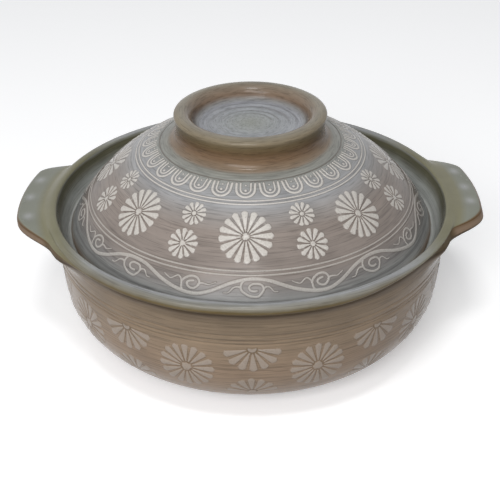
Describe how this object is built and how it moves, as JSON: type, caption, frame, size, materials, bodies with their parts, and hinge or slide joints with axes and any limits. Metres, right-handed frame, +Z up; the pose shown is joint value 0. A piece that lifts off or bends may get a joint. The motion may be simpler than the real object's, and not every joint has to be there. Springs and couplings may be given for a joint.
{
  "type": "donabe clay pot",
  "caption": "Round covered stoneware cooking pot with two flat rim lugs, a sunk gallery that seats a domed lid, a ring knob and a stamped white-slip flower pattern.",
  "frame": {"origin": "centre of the foot ring on the table, on the axis of the pot", "axes": "+Z up along the axis of the pot and lid, +X through the right lug, -Y towards the viewer"},
  "size_m": [0.3216, 0.284, 0.1654],
  "materials": {
    "pot_glaze": "gloss",
    "lid_glaze": "gloss",
    "pot_slip": "gloss",
    "lid_slip": "gloss"
  },
  "bodies": {
    "pot": {"pot_body": "pot_glaze", "lug_handle_left": "pot_glaze", "lug_handle_right": "pot_glaze", "pot_full_flowers": "pot_slip", "pot_upper_half_flowers": "pot_slip", "pot_lower_half_flowers": "pot_slip"},
    "lid": {"lid_shell": "lid_glaze", "lid_knob_ring": "lid_glaze", "lid_large_flowers": "lid_slip", "lid_small_flowers_upper": "lid_slip", "lid_small_flowers_lower": "lid_slip", "lid_arch_band": "lid_slip", "lid_ring_lines": "lid_slip", "lid_border_lines": "lid_slip", "lid_scroll": "lid_slip"}
  },
  "joints": [
    {"name": "lid_lift", "type": "slide", "parent": "pot", "child": "lid", "axis": [0, 0, 1], "range_m": [0, 0.1]}
  ]
}
